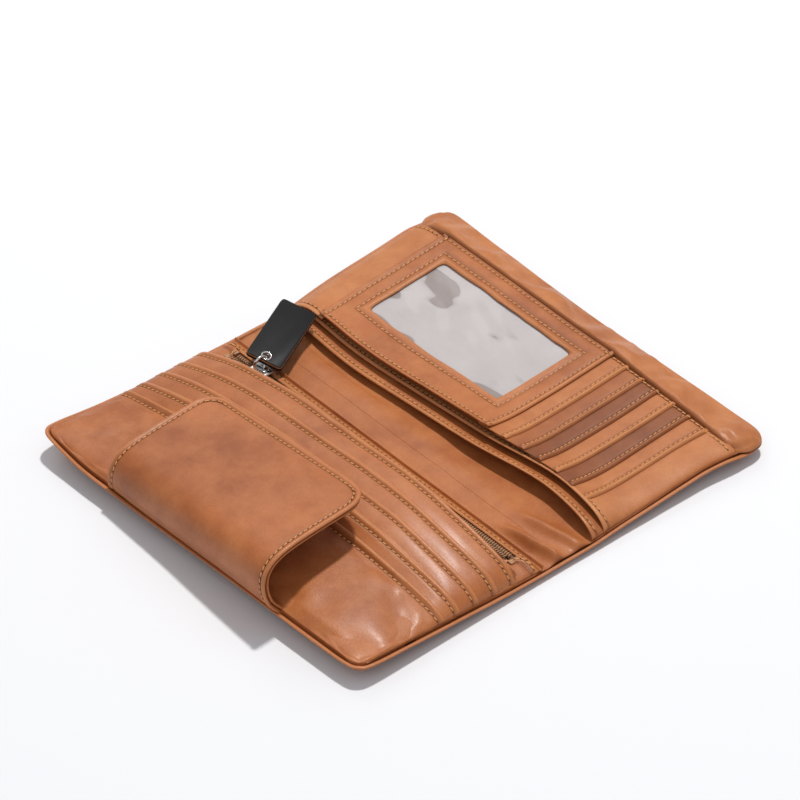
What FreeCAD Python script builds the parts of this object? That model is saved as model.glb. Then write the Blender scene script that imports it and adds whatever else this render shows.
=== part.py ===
import FreeCAD, Part
import math
import os

from FreeCAD import Vector

# Travel wallet for passports, lying open and flat on its cover.
# X runs along the spine, Y across from the near half to the far half, Z up.
# The origin is on the underside, in the middle of the spine.

# overall sizes, mm
length = 200.0
half_depth = 100.0
corner_radius = 9.0
rim = 2.5                   # how far the cover stands out past the inner panels

# leather and board, mm
cover_leather = 1.4
board = 0.8
lining_leather = 0.8
pocket_leather = 0.9
slot_leather = 0.7
panel_leather = 1.0
pouch_leather = 1.0
board_inset = 2.0           # board edge inside the lining edge

# near half: zipped pouch under a passport pocket and stepped card slots, mm
passport_gap = 4.4
welt_width = 4.5
near_mouth = 15.5           # hinge line to the first card edge
near_step = 9.9             # from one stepped edge to the next
near_slot_count = 3
zip_line = 7.5              # hinge line to the middle of the zip
coil_width = 2.1
coil_height = 1.5
coil_gap = 1.2
tape_thickness = 0.8
tape_under_pouch = 4.5
tape_past_coil = 3.8
facing_width = 3.0
zip_end_margin = 8.0
stop_length = 2.4
pouch_mouth_gap = 1.3       # coil to the pouch leather's edge

# far half: two flat pockets, an identity window and stepped card slots, mm
flat_gap = 0.6
slip_mouth = 4.5            # hinge line to the slip pocket's edge
panel_mouth = 11.0          # hinge line to the card panel's edge
end_band = 18.0
edge_roll = 13.5
roll_height = 2.6
seam_gap = 0.3
far_slot_count = 6
far_step = 9.5
last_slot_margin = 14.0     # last slot edge to the end of the panel
window_end_margin = 13.5
window_mouth_margin = 18.5
window_seam_margin = 13.0
window_lap = 4.0            # how far the film runs under its frame
film = 0.4
window_radius = 1.5

# closing tab and its magnets, mm
tab_width = 106.0
tab_leather = 1.4
tab_lining = 1.0
tab_root_depth = 11.5      # how far the tab is sewn in
tab_reach = 64.0            # from the wall to the tip
tab_radius = 12.0
tab_clearance = 0.4
tab_side_clearance = 5.5    # the tab bows out past the edge
magnet_length = 60.0
magnet_width = 10.0
magnet_tip_margin = 7.0
magnet_skin = 0.1
closed_clearance = 1.5      # between the two halves when they are shut

# zip slider, ring and pull tag, mm
slider_rest = -70.5
slider_length = 9.0
slider_plate = 0.8
slider_fit = 0.15
flange = 0.8
flange_drop = 1.4
neck_width = 0.7
neck_length = 2.4
bail_length = 4.6
bail_width = 2.4
bail_leg = 1.0
bail_opening = 1.9
ring_radius = 3.4
ring_wire = 0.6
tag_width = 18.5
tag_length = 36.0
tag_thickness = 2.4
tag_corner = 1.2
tag_angle = 24.0            # rest angle from +Y towards -X
eyelet_margin = 3.0
eyelet_radius = 1.2

# levels and lines that follow from the sizes
lining_top = cover_leather + board + lining_leather
tab_thickness = tab_leather + tab_lining
pouch_low = lining_top + tab_thickness
pouch_high = pouch_low + pouch_leather
near_back = pouch_high + passport_gap
near_top = near_back + pocket_leather * (1 + near_slot_count) + panel_leather
slip_low = lining_top + flat_gap
far_back = slip_low + pocket_leather + flat_gap
window_low = far_back + pocket_leather + slot_leather * far_slot_count
far_top = window_low + panel_leather
spine_width = (near_top - lining_top) + (far_top - lining_top) + closed_clearance

hinge_y = spine_width / 2
half_length = length / 2
outer_y = hinge_y + half_depth
inner_x = half_length - rim
inner_y = outer_y - rim
inner_radius = corner_radius - rim
zip_y = -(hinge_y + zip_line)
bail_low = pouch_low + coil_height + slider_fit + slider_plate
ring_z = bail_low + bail_opening / 2 + ring_radius
tab_wall_y = -(outer_y + tab_side_clearance)
tab_low = 2 * lining_top + spine_width + tab_clearance
tab_tip_y = tab_wall_y + tab_reach - tab_thickness
magnet_y = tab_tip_y - magnet_tip_margin - magnet_width / 2


def block(x, y, z):
    """Plain box between three pairs of limits."""
    return Part.makeBox(x[1] - x[0], y[1] - y[0], z[1] - z[0], Vector(x[0], y[0], z[0]))


def rounded_face(x, y, z, radii):
    """Flat rectangle whose corners, from low x and low y round, have their own radii."""
    corners = [(x[0], y[0]), (x[1], y[0]), (x[1], y[1]), (x[0], y[1])]
    starts, ends, middles = [], [], []
    for i, (cx, cy) in enumerate(corners):
        here = Vector(cx, cy, z)
        back = Vector(*corners[i - 1], z) - here
        ahead = Vector(*corners[(i + 1) % 4], z) - here
        back.normalize()
        ahead.normalize()
        starts.append(here + back * radii[i])
        ends.append(here + ahead * radii[i])
        middles.append(here + (back + ahead) * (radii[i] * (1 - math.sqrt(0.5))))
    edges = []
    for i in range(4):
        if radii[i] > 0:
            edges.append(Part.Arc(starts[i], middles[i], ends[i]).toShape())
        edges.append(Part.LineSegment(ends[i], starts[(i + 1) % 4]).toShape())
    return Part.Face(Part.Wire(edges))


def panel(x, y, z, thickness, low_radius=0.0, high_radius=0.0):
    """Sheet of leather or board with rounded corners at its low-y and its high-y edge."""
    radii = [low_radius, low_radius, high_radius, high_radius]
    return rounded_face(x, y, z, radii).extrude(Vector(0, 0, thickness))


def strip_section(points, width):
    """Strip of the given width, centred on x = 0, from its outline in the YZ plane."""
    ring = [Vector(-width / 2, y, z) for y, z in points]
    face = Part.Face(Part.makePolygon(ring + ring[:1]))
    return face.extrude(Vector(width, 0, 0))


def layers(name, x, y, low_radius, high_radius, board_x):
    """Cover, board and lining of one stretch; x and y are the lining's, the cover is given apart."""
    base = {}
    base[name + "_board"] = panel(board_x, y["board"], cover_leather, board)
    base[name + "_lining"] = panel(x["lining"], y["lining"], cover_leather + board, lining_leather,
                                   low_radius["lining"], high_radius["lining"])
    base[name + "_cover"] = panel(x["cover"], y["cover"], 0.0, cover_leather,
                                  low_radius["cover"], high_radius["cover"])
    return base


def shells():
    """The three stretches of cover, board and lining: near half, spine and far half."""
    x = {"cover": (-half_length, half_length), "lining": (-inner_x, inner_x)}
    board_x = (-inner_x + board_inset, inner_x - board_inset)
    board_y = inner_y - board_inset
    none = {"cover": 0.0, "lining": 0.0}
    full = {"cover": corner_radius, "lining": inner_radius}
    near_y = {"cover": (-outer_y, -hinge_y), "lining": (-inner_y, -hinge_y),
              "board": (-board_y, -hinge_y)}
    far_y = {"cover": (hinge_y, outer_y), "lining": (hinge_y, inner_y),
             "board": (hinge_y, board_y)}
    spine_y = {key: (-hinge_y, hinge_y) for key in ("cover", "lining", "board")}
    made = layers("near", x, near_y, full, none, board_x)
    made.update(layers("spine", x, spine_y, none, none, board_x))
    made.update(layers("far", x, far_y, none, full, board_x))
    slot = block((-magnet_length / 2, magnet_length / 2),
                 (-magnet_y - magnet_width / 2, -magnet_y + magnet_width / 2),
                 (cover_leather, cover_leather + board))
    made["far_board"] = made["far_board"].cut(slot)
    made["cover_magnet"] = block((-magnet_length / 2 + magnet_skin, magnet_length / 2 - magnet_skin),
                                 (-magnet_y - magnet_width / 2 + magnet_skin,
                                  -magnet_y + magnet_width / 2 - magnet_skin),
                                 (cover_leather, cover_leather + board))
    return made


def side_welts(mouth_y, sealed_y, z):
    """Two bars that close a pocket's ends, between its mouth line and its sealed edge."""
    y = (min(mouth_y, sealed_y), max(mouth_y, sealed_y))
    return [block((-inner_x, -inner_x + welt_width), y, z),
            block((inner_x - welt_width, inner_x), y, z)]


def pouch():
    """Zipped pouch: welts round the sealed edges, and the leather that covers it."""
    z = (lining_top, pouch_low)
    outer_bar = -inner_y + welt_width
    root_x = tab_width / 2 + seam_gap
    welts = side_welts(-hinge_y - facing_width, outer_bar, z)
    corner_x = inner_x - inner_radius
    welts.append(block((-corner_x, -root_x), (-inner_y, outer_bar), z))
    welts.append(block((root_x, corner_x), (-inner_y, outer_bar), z))
    mouth = zip_y - coil_gap / 2 - coil_width - pouch_mouth_gap
    return {"pouch_welts": Part.makeCompound(welts),
            "pouch_front": panel((-inner_x, inner_x), (-inner_y, mouth), pouch_low,
                                 pouch_leather, inner_radius)}


def zip_rows():
    """Tapes, coil rows, end stops and the facing that the spine-side tape is sewn to."""
    reach = inner_x - zip_end_margin
    x = (-reach, reach)
    tape_z = (pouch_low - tape_thickness, pouch_low)
    coil_z = (pouch_low, pouch_low + coil_height)
    near_in = zip_y - coil_gap / 2
    far_in = zip_y + coil_gap / 2
    near_out = near_in - coil_width
    far_out = far_in + coil_width
    tape_end = far_out + tape_past_coil
    stops = []
    for side in (-1, 1):
        low, high = sorted((side * reach, side * (reach - stop_length)))
        stops.append(block((low, high), (near_out, near_in), coil_z))
        stops.append(block((low, high), (far_in, far_out), coil_z))
    coil_x = (x[0] + stop_length, x[1] - stop_length)
    return {"zip_tape_pouch": block(x, (near_out - pouch_mouth_gap - tape_under_pouch, near_in), tape_z),
            "zip_tape_spine": block(x, (far_in, tape_end), tape_z),
            "zip_coil_pouch": block(coil_x, (near_out, near_in), coil_z),
            "zip_coil_spine": block(coil_x, (far_in, far_out), coil_z),
            "zip_stops": Part.makeCompound(stops),
            "zip_facing": block(x, (tape_end - facing_width, tape_end), (lining_top, tape_z[0]))}


def near_cards():
    """Passport pocket welts, the stepped card pockets over it and the big front panel."""
    mouth = -(hinge_y + near_mouth)
    z = (pouch_high, near_back)
    outer_bar = -inner_y + welt_width
    welts = side_welts(mouth, outer_bar, z)
    corner_x = inner_x - inner_radius
    welts.append(block((-corner_x, corner_x), (-inner_y, outer_bar), z))
    made = {"passport_pocket_welts": Part.makeCompound(welts)}
    level = near_back
    names = ["near_card_backing"] + ["near_card_slot_%d" % (i + 1) for i in range(near_slot_count)]
    for i, name in enumerate(names):
        made[name] = panel((-inner_x, inner_x), (-inner_y, mouth - i * near_step), level,
                           pocket_leather, inner_radius)
        level += pocket_leather
    made["near_front_panel"] = panel((-inner_x, inner_x), (-inner_y, mouth - len(names) * near_step),
                                     level, panel_leather, inner_radius)
    return made


def far_cards():
    """Slip pocket, card panel, stepped slots, identity window and the bands round them."""
    panel_low_x = -inner_x + end_band
    panel_high_y = inner_y - edge_roll
    slip_edge = hinge_y + slip_mouth
    mouth = hinge_y + panel_mouth
    made = {}
    welt_y = (slip_edge, panel_high_y)
    made["slip_pocket_welts"] = Part.makeCompound(
        side_welts(*welt_y, (lining_top, slip_low)))
    made["slip_pocket_panel"] = panel((-inner_x, inner_x), (slip_edge, panel_high_y), slip_low,
                                      pocket_leather)
    made["note_pocket_welts"] = Part.makeCompound(
        side_welts(mouth, panel_high_y, (slip_low + pocket_leather, far_back)))
    made["card_panel"] = panel((-inner_x, inner_x), (mouth, panel_high_y), far_back, pocket_leather)
    last_edge = inner_x - last_slot_margin
    level = far_back + pocket_leather
    for i in range(far_slot_count):
        edge = last_edge - i * far_step
        made["far_card_slot_%d" % (i + 1)] = panel((panel_low_x, edge), (mouth, panel_high_y), level,
                                                   slot_leather)
        level += slot_leather
    frame_x = (panel_low_x, last_edge - far_slot_count * far_step)
    clear_x = (frame_x[0] + window_end_margin, frame_x[1] - window_end_margin)
    clear_y = (mouth + window_mouth_margin, panel_high_y - window_seam_margin)
    hole = rounded_face(clear_x, clear_y, level - 1.0, [window_radius] * 4)
    recess = block((clear_x[0] - window_lap, clear_x[1] + window_lap),
                   (clear_y[0] - window_lap, clear_y[1] + window_lap), (level, level + film))
    made["window_film"] = recess
    made["window_frame"] = panel(frame_x, (mouth, panel_high_y), level, panel_leather).cut(
        hole.extrude(Vector(0, 0, panel_leather + 2.0))).cut(recess)
    band_z = (far_back + pocket_leather, far_back + pocket_leather + slot_leather)
    made["end_band"] = block((-inner_x, panel_low_x - seam_gap), (mouth, panel_high_y), band_z)
    made["edge_roll"] = panel((-inner_x, inner_x), (panel_high_y + seam_gap, inner_y), lining_top,
                              roll_height, 0.0, inner_radius)
    return made


def tab():
    """Closing tab in two layers: root in the seam, wall round the edge, flap over the top."""
    wall = tab_wall_y - tab_thickness
    mid = tab_wall_y - tab_lining
    low = lining_top
    low_mid = low + tab_leather
    low_in = low + tab_thickness
    high_in = tab_low
    high_mid = high_in + tab_lining
    high = high_in + tab_thickness
    root = -outer_y + tab_root_depth
    made = {}
    made["tab_root_outer"] = strip_section([(root, low), (wall, low), (mid, low_mid),
                                            (root, low_mid)], tab_width)
    made["tab_root_lining"] = strip_section([(root, low_mid), (mid, low_mid), (tab_wall_y, low_in),
                                             (root, low_in)], tab_width)
    made["tab_wall_outer"] = strip_section([(wall, low), (wall, high), (mid, high_mid),
                                            (mid, low_mid)], tab_width)
    made["tab_wall_lining"] = strip_section([(mid, low_mid), (mid, high_mid),
                                             (tab_wall_y, high_in), (tab_wall_y, low_in)], tab_width)
    outer = strip_section([(wall, high), (tab_tip_y, high), (tab_tip_y, high_mid),
                           (mid, high_mid)], tab_width)
    inner = strip_section([(mid, high_mid), (tab_tip_y, high_mid), (tab_tip_y, high_in),
                           (tab_wall_y, high_in)], tab_width)
    blank = panel((-tab_width / 2, tab_width / 2), (wall - 1.0, tab_tip_y), high_in - 1.0,
                  tab_thickness + 2.0, 0.0, tab_radius)
    x = (-magnet_length / 2, magnet_length / 2)
    y = (magnet_y - magnet_width / 2, magnet_y + magnet_width / 2)
    pocket = block(x, y, (high_mid - board, high_mid))
    made["tab_flap_outer"] = outer.common(blank)
    made["tab_flap_lining"] = inner.common(blank).cut(pocket)
    made["tab_magnet"] = block((x[0] + magnet_skin, x[1] - magnet_skin),
                               (y[0] + magnet_skin, y[1] - magnet_skin), (high_mid - board, high_mid))
    return made


def pull():
    """Zip slider with its bail, the ring that hangs in it and the leather pull tag."""
    coil_out = coil_gap / 2 + coil_width
    top = bail_low - slider_plate
    half = coil_out + slider_fit + flange
    x = (slider_rest - slider_length / 2, slider_rest + slider_length / 2)
    plate = panel(x, (zip_y - half, zip_y + half), top, slider_plate, 2.0, 2.0)
    body = [plate]
    for side in (-1, 1):
        y = sorted((zip_y + side * half, zip_y + side * (half - flange)))
        short = (x[0] + 2.0, x[1] - 2.0)
        body.append(block(short, y, (top - flange_drop, top)))
    neck_x = (slider_rest - neck_length / 2, slider_rest + neck_length / 2)
    under = pouch_low - tape_thickness - slider_fit
    body.append(block(neck_x, (zip_y - neck_width / 2, zip_y + neck_width / 2), (under, top)))
    body.append(block((x[0] + 1.0, x[1] - 1.0), (zip_y - coil_out, zip_y + coil_out - 0.6),
                      (under - slider_plate, under)))
    bail_high = bail_low + bail_opening + bail_leg
    for side in (-1, 1):
        leg = sorted((slider_rest + side * bail_length / 2,
                      slider_rest + side * (bail_length / 2 - bail_leg)))
        body.append(block(leg, (zip_y - bail_width / 2, zip_y + bail_width / 2),
                          (bail_low, bail_high)))
    body.append(block((slider_rest - bail_length / 2, slider_rest + bail_length / 2),
                      (zip_y - bail_width / 2, zip_y + bail_width / 2),
                      (bail_low + bail_opening, bail_high)))
    slider = body[0].fuse(body[1:]).removeSplitter()

    centre = Vector(slider_rest, zip_y, ring_z)
    ring = Part.makeTorus(ring_radius, ring_wire, centre, Vector(1, 0, 0))

    eye = centre + Vector(0, ring_radius, 0)
    strip = panel((-tag_width / 2, tag_width / 2), (-eyelet_margin, tag_length - eyelet_margin),
                  -tag_thickness / 2, tag_thickness, tag_corner, tag_corner)
    hole = Part.makeCylinder(eyelet_radius, tag_thickness * 2, Vector(0, 0, -tag_thickness))
    tag = strip.cut(hole)
    tag.rotate(Vector(0, 0, 0), Vector(0, 0, 1), tag_angle)
    tag.translate(eye)
    return {"zip_slider": slider, "pull_ring": ring, "pull_tag": tag}


def main():
    os.makedirs("parts", exist_ok=True)
    nodes = {}
    for make in (shells, pouch, zip_rows, near_cards, far_cards, tab, pull):
        nodes.update(make())
    for name, shape in nodes.items():
        if not shape.isValid():
            print("not valid:", name)
        shape.exportStep("parts/%s.step" % name)
    print(len(nodes), "nodes; spine", round(spine_width, 2), "hinge lines at y", round(hinge_y, 3),
          "z", round(lining_top, 3))
    print("tab hinge y", round(tab_wall_y - tab_thickness, 3), "z", round(lining_top, 3), "and",
          round(tab_low + tab_thickness, 3))
    print("zip line y", round(zip_y, 3), "ring centre z", round(ring_z, 3), "eyelet y",
          round(zip_y + ring_radius, 3))


main()
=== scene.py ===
import math

import bpy
from mathutils import Matrix, Vector, noise


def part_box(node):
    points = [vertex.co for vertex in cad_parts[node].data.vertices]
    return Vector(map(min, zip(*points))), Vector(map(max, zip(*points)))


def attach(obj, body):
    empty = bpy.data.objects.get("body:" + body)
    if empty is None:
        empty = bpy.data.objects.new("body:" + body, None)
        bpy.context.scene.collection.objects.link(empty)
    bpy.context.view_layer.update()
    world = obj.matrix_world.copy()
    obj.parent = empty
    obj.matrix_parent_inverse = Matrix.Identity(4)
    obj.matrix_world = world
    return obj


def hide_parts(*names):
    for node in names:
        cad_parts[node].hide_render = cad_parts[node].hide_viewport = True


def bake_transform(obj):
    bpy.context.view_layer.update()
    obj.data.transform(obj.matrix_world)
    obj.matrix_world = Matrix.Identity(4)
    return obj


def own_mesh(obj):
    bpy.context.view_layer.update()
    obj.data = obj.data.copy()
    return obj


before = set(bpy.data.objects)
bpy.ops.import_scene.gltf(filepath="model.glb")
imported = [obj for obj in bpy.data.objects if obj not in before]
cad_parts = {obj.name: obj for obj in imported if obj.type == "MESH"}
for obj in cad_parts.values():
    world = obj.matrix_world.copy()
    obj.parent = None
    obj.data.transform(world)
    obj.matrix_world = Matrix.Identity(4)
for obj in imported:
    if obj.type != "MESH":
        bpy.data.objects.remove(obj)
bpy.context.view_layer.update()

mm = 0.001
bpy.ops.object.select_all(action="DESELECT")


nodeBoxes = {}


def cad(node):
    # a CAD node's lowest and highest corner, in millimetres
    if node not in nodeBoxes:
        low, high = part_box(node)
        nodeBoxes[node] = (low / mm, high / mm)
    return nodeBoxes[node]


# lines and levels read from the frame, in millimetres
hingeY = cad("spine_cover")[1].y
outerY = cad("far_cover")[1].y
halfLength = cad("near_cover")[1].x
innerX = cad("near_lining")[1].x
innerY = cad("far_lining")[1].y
liningTop = cad("near_lining")[1].z
farTop = cad("window_frame")[1].z
cardNodes = ["near_card_backing", "near_card_slot_1", "near_card_slot_2", "near_card_slot_3",
             "near_front_panel"]
slotNodes = ["far_card_slot_%d" % i for i in range(1, 7)]
zipY = (cad("zip_coil_pouch")[1].y + cad("zip_coil_spine")[0].y) / 2
panelEdge = cad("card_panel")[0].y
seamY = cad("card_panel")[1].y
bandX = cad("window_frame")[0].x
coverRadius = 9.0
innerRadius = coverRadius - (halfLength - innerX)

# how the soft holder lies: its outer edges spring up a little, one near corner curls
lying = {"nearLift": 6.0, "farLift": 6.5, "farCornerLift": 2.5, "farDroop": 1.6, "curve": 1.25, "curl": 3.2}
# how its sewing pulls the flat outline: curl (in x and y), longer far end and corner, deeper
# far corners, wavy far ends, and the (amount, centre, width) of each drift of the far mouths
outline = {"curl": (1.4, 1.6), "farEnd": 2.6, "farCorner": 2.2, "farDepth": 2.4, "endWave": 0.5,
           "drift": [(4.2, 64, 26), (-3.0, -48, 34)]}


def rise(x, y):
    # height of the risen cover over the flat one
    share = max(0.0, abs(y) - hingeY) / (outerY - hingeY)
    if y < 0:
        curl = lying["curl"] * ease((-x - 66) / 34) * ease((-y - 70) / 45)
        return lying["nearLift"] * share ** lying["curve"] + curl
    corner = lying["farCornerLift"] * max(0.0, -x / halfLength)
    droop = lying["farDroop"] * ease((x - 60) / 40) * ease((y - 70) / 40)
    return (lying["farLift"] + corner) * share ** lying["curve"] - droop


def drawn(x, y):
    # where the sewing pulls a point of the flat outline
    if y < 0:
        curl = ease((-x - 60) / 40) * ease((-y - 70) / 45)
        return x + outline["curl"][0] * curl, y + outline["curl"][1] * curl
    farEnd = -outline["farEnd"] * ease((y - hingeY) / 40) * max(0.0, -x / halfLength)
    farCorner = outline["farCorner"] * ease((x - 70) / 30) * ease((y - 75) / 25)
    wavy = outline["endWave"] * wave(0, y, 26.0, 12.0) * ease((abs(x) - 80) / 15)
    drift = sum(amount * bump(x, centre, width) for amount, centre, width in outline["drift"])
    drift *= ease((y - 8) / 6) * (1 - ease((y - 24) / 34))
    depth = outline["farDepth"] * ease((y - 92) / 18) * (0.1 + 0.9 * (x / halfLength) ** 2)
    return x + farEnd + farCorner + wavy, y + drift + depth


def wave(x, y, size, seed=0.0):
    # smooth unevenness from -1 to 1, with swells about size millimetres long
    return noise.noise(Vector((x / size, y / size, seed)))


def pillow(distance, width):
    # quarter-round rise from 0 at an edge to 1 once width millimetres in
    t = min(max(distance / width, 0.0), 1.0)
    return math.sqrt(1 - (1 - t) ** 2)


def ease(t):
    t = min(max(t, 0.0), 1.0)
    return t * t * (3 - 2 * t)


def bump(d, centre, width):
    return math.exp(-((d - centre) / width) ** 2)


farBody = {"seamThickness": 1.5, "endRound": 9.0, "mouthGape": 5.4, "slipGape": 6.4}
# near half: (y, thickness over the lining) down the middle, for the tiers and for the pouch
nearBody = {"seam": 1.0, "endRound": 8.0, "endReach": 68.0, "endShare": 0.28,
            "tiers": [(-110, 1.2), (-108.5, 1.6), (-106.5, 4.2), (-103, 5.9), (-95, 7.2), (-80, 9.2),
                      (-69, 11.2), (-66, 12.0), (-57.5, 16.2), (-48, 18.4), (-37, 20.2), (-27, 20.8),
                      (-20, 20.0), (-11, 14.0)],
            "pouch": [(-110, 0.6), (-108.5, 0.9), (-104, 2.6), (-80, 5.0), (-50, 10.5), (-32, 11.6),
                      (-26.5, 8.6), (-22.5, 4.9), (-18.5, 3.5), (-14.5, 3.4), (-11, 1.2)]}
nearSkew = {"hinge": -1.5, "edge": -3.5, "turn": 3.5}


def along(table, y):
    # a smooth reading between the points of a table
    for (y0, v0), (y1, v1) in zip(table, table[1:]):
        if y <= y1:
            t = min(max((y - y0) / (y1 - y0), 0.0), 1.0)
            return v0 + (v1 - v0) * (0.5 * t + 0.5 * ease(t))
    return table[-1][1]


def endFall(x):
    # how full the near half is at x: 0 at its sewn ends, 1 in the middle
    d = innerX - abs(x)
    steep, share = pillow(d, nearBody["endRound"]), nearBody["endShare"]
    gentle = 1 - (1 - min(max(d / nearBody["endReach"], 0.0), 1.0)) ** 2
    return share * steep + (1 - share) * gentle


def skewed(x, y):
    # the near half lies a little askew of the far one
    share = min(max((abs(y) - hingeY) / (outerY - hingeY), 0.0), 1.0)
    start = nearSkew["hinge"] + (nearSkew["edge"] - nearSkew["hinge"]) * share
    return y + (start + nearSkew["turn"] * x / halfLength) * ease((abs(y) - hingeY) / 22)


def visibleTier(y):
    # level in the stiff model of the pocket edge that is seen at y
    for node in reversed(cardNodes):
        if y < cad(node)[1].y:
            return cad(node)[1].z
    return cad(cardNodes[0])[1].z


def nearHeight(x, y, z):
    # height over the lining of what lies at z in the stiff model
    swell = 1 + 0.045 * wave(x, y, 40.0) + 0.018 * wave(x, y, 15.0, 5.0)
    fall = endFall(x) * swell
    seam = nearBody["seam"] * min(1.0, (z - liningTop) / 4)
    pouchLevel, tierLevel = cad("pouch_front")[1].z, cad(cardNodes[0])[0].z
    flat = ease((y + 24) / 5)
    pouchFall = fall * (1 - flat) + pillow(innerX - abs(x), 10) * flat
    pouch = seam + max(along(nearBody["pouch"], y) - seam, 0.0) * pouchFall
    if z > pouchLevel and y > cad(cardNodes[0])[1].y:
        return pouch + z - pouchLevel
    if z <= pouchLevel:
        return pouch * (z - liningTop) / (pouchLevel - liningTop)
    top = seam + max(along(nearBody["tiers"], y) - seam, 0.0) * fall
    under = top - (visibleTier(y) - tierLevel) * (0.35 + 0.65 * fall)
    if z >= tierLevel:
        return top - (visibleTier(y) - z) * (0.35 + 0.65 * fall)
    return pouch + max(under - pouch, 0.0) * (z - pouchLevel) / (tierLevel - pouchLevel)


def farThickness(x, y):
    full = farTop - liningTop
    ends = pillow(innerX - abs(x), farBody["endRound"])
    swell = 1 + 0.05 * wave(x, y, 45.0, 3.0) + 0.02 * wave(x, y, 15.0, 8.0)
    return farBody["seamThickness"] + (full * swell - farBody["seamThickness"]) * ends


def settle(x, y, z):
    # where a point of the stiff model lies in the soft one
    z0 = rise(x, y)
    if z <= liningTop:
        return z + z0
    if y < -hingeY:
        return liningTop + nearHeight(x, y, z) + z0
    if y > hingeY:
        share = (z - liningTop) / (farTop - liningTop)
        return liningTop + share * farThickness(x, y) + z0
    return z + z0


def roundCorner(x, y, farX, farY, radius):
    # a square corner of the grid drawn in to a round one
    u = abs(x) - (farX - radius)
    v = y * math.copysign(1, farY) - (abs(farY) - radius)
    if u <= 0 or v <= 0:
        return x, y
    k = max(u, v) / math.hypot(u, v)
    return (math.copysign(farX - radius + u * k, x),
            math.copysign(abs(farY) - radius + v * k, farY))


def spread(low, high, step, lowRows=(), highRows=()):
    # grid lines from low to high: close rows at the ends, then even ones of about step
    start = [low] + [low + r for r in lowRows]
    end = sorted([high] + [high - r for r in highRows])
    count = max(1, round((end[0] - start[-1]) / step))
    gap = (end[0] - start[-1]) / count
    middle = [start[-1] + gap * i for i in range(1, count)]
    return start + middle + end


endRows = (0.5, 1.2, 2.2, 3.6, 5.2, 7.2, 9.6, 12.5)
lipRows = (0.35, 0.8, 1.4, 2.0, 2.5, 2.9, 3.3, 3.8, 4.6, 6.0, 8.0)
print("layout read from the frame")


class Val:
    # one socket, so that maths on sockets reads as ordinary sums
    def __init__(self, tree, socket):
        self.tree, self.socket = tree, socket

    def math(self, operation, *others, swap=False):
        values = [self] + list(others)
        if swap:
            values.reverse()
        node = self.tree.nodes.new("ShaderNodeMath")
        node.operation = operation
        for slot, value in zip(node.inputs, values):
            if isinstance(value, Val):
                self.tree.links.new(value.socket, slot)
            else:
                slot.default_value = value
        return Val(self.tree, node.outputs[0])

    def __add__(self, other):
        return self.math("ADD", other)

    def __radd__(self, other):
        return self.math("ADD", other)

    def __sub__(self, other):
        return self.math("SUBTRACT", other)

    def __rsub__(self, other):
        return self.math("SUBTRACT", other, swap=True)

    def __mul__(self, other):
        return self.math("MULTIPLY", other)

    def __rmul__(self, other):
        return self.math("MULTIPLY", other)

    def clamp(self):
        return self.math("MAXIMUM", 0.0).math("MINIMUM", 1.0)


class Finish:
    # a new material with its shader and a few ways to add nodes
    def __init__(self, name, **constants):
        self.material = bpy.data.materials.new(name)
        self.material.use_nodes = True
        self.tree = self.material.node_tree
        self.shader = self.tree.nodes["Principled BSDF"]
        for socket, value in constants.items():
            self.shader.inputs[socket.replace("_", " ")].default_value = value

    def node(self, kind, settings=None, out=0, **sockets):
        made = self.tree.nodes.new(kind)
        for key, value in (settings or {}).items():
            setattr(made, key, value)
        for key, value in sockets.items():
            numbered = key[0] == "i" and key[1:].isdigit()
            slot = made.inputs[int(key[1:]) if numbered else key.replace("_", " ")]
            if isinstance(value, Val):
                self.tree.links.new(value.socket, slot)
            else:
                slot.default_value = value
        return Val(self.tree, made.outputs[out])

    def coords(self):
        return self.node("ShaderNodeTexCoord", out=3)

    def noise(self, coords, scale, detail=3.0, roughness=0.55):
        return self.node("ShaderNodeTexNoise", Vector=coords, Scale=scale, Detail=detail,
                         Roughness=roughness)

    def attribute(self, name):
        return self.node("ShaderNodeAttribute", {"attribute_name": name}, out=2)

    def mix(self, amount, a, b, blend="MIX"):
        return self.node("ShaderNodeMix", {"data_type": "RGBA", "blend_type": blend}, out=2,
                         i0=amount, i6=a, i7=b)

    def feed(self, **sockets):
        for key, value in sockets.items():
            self.tree.links.new(value.socket, self.shader.inputs[key.replace("_", " ")])

    def bumped(self, height, strength, distance):
        self.feed(Normal=self.node("ShaderNodeBump", Height=height, Strength=strength,
                                   Distance=distance))


def shade(colour, factor):
    return tuple(c * factor for c in colour[:3]) + (1,)


leatherTone = {
    "cover": {"base": (0.47, 0.142, 0.037), "deep": (0.27, 0.070, 0.016), "pale": (0.62, 0.245, 0.088)},
    "panel": {"base": (0.49, 0.155, 0.042), "deep": (0.29, 0.076, 0.018), "pale": (0.64, 0.262, 0.095)},
    # far panel tone: the panel leather painted lighter, as painted light where the far half, its end band
    # and its edge roll face the key light
    "farPanelLit": {"base": (0.56, 0.200, 0.060), "deep": (0.36, 0.105, 0.027), "pale": (0.70, 0.310, 0.125)},
    "lining": {"base": (0.50, 0.160, 0.040), "deep": (0.32, 0.085, 0.020), "pale": (0.62, 0.250, 0.085)},
    "light": {"base": (0.52, 0.180, 0.052), "deep": (0.36, 0.105, 0.028), "pale": (0.66, 0.280, 0.105)},
    "red": {"base": (0.275, 0.078, 0.020), "deep": (0.165, 0.041, 0.010), "pale": (0.40, 0.138, 0.044)},
    "mid": {"base": (0.40, 0.125, 0.035), "deep": (0.25, 0.068, 0.018), "pale": (0.52, 0.200, 0.070)},
}


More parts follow.
